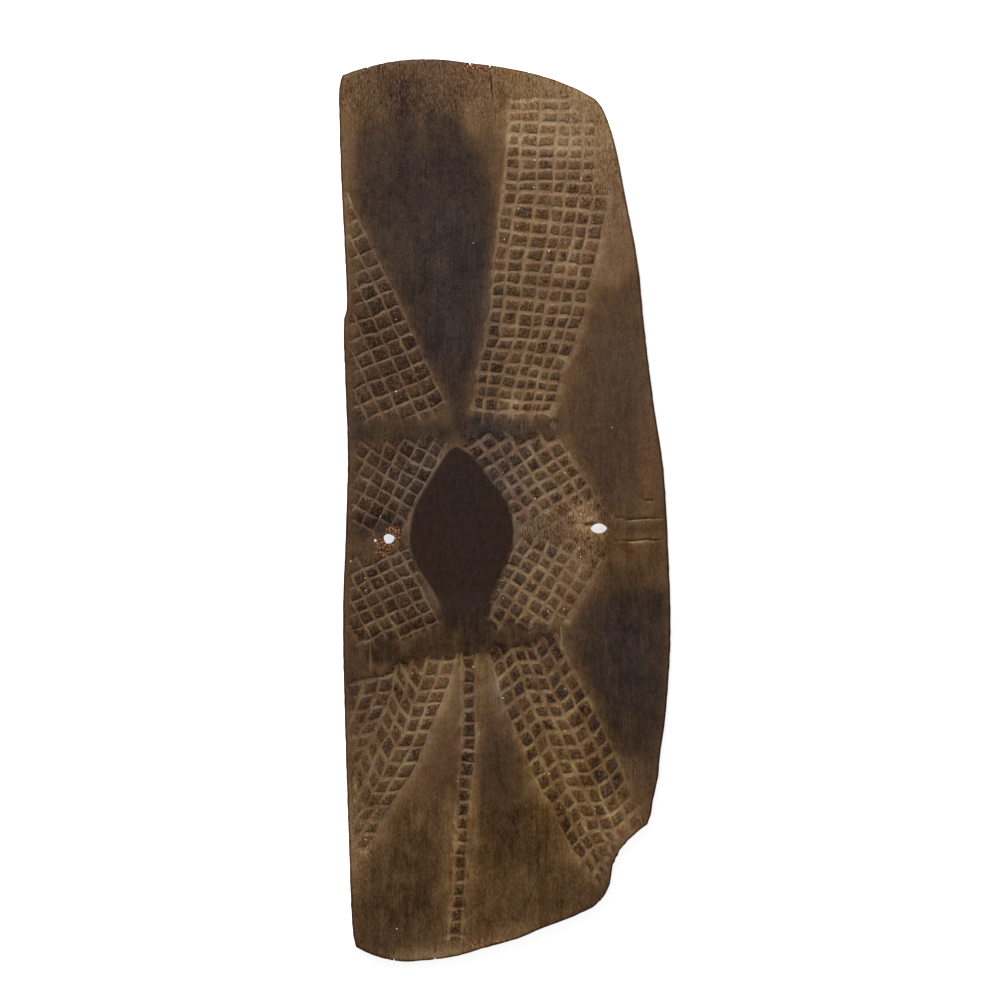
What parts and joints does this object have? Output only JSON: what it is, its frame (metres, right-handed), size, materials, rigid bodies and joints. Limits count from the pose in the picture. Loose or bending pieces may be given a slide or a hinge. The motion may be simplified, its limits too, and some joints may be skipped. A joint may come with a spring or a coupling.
{
  "type": "carved wooden war shield",
  "caption": "Tall flat wooden shield, lying on its back, with raised checker carving in panels round a plain diamond, rope holes and a broken lower corner.",
  "frame": {"origin": "centre of the shield's bounding box at the surface that its flat back lies on", "axes": "+Y along the plank to the shield's top, +X to its right seen from the front, +Z out of the carved front"},
  "size_m": [0.516, 1.4, 0.0185],
  "materials": {
    "old_carved_wood": "old hand-rubbed dark brown hardwood with a dull sheen, darker squares and tan dust in the cut grooves"
  },
  "bodies": {
    "root": {"shield_board": "old_carved_wood"}
  },
  "joints": []
}
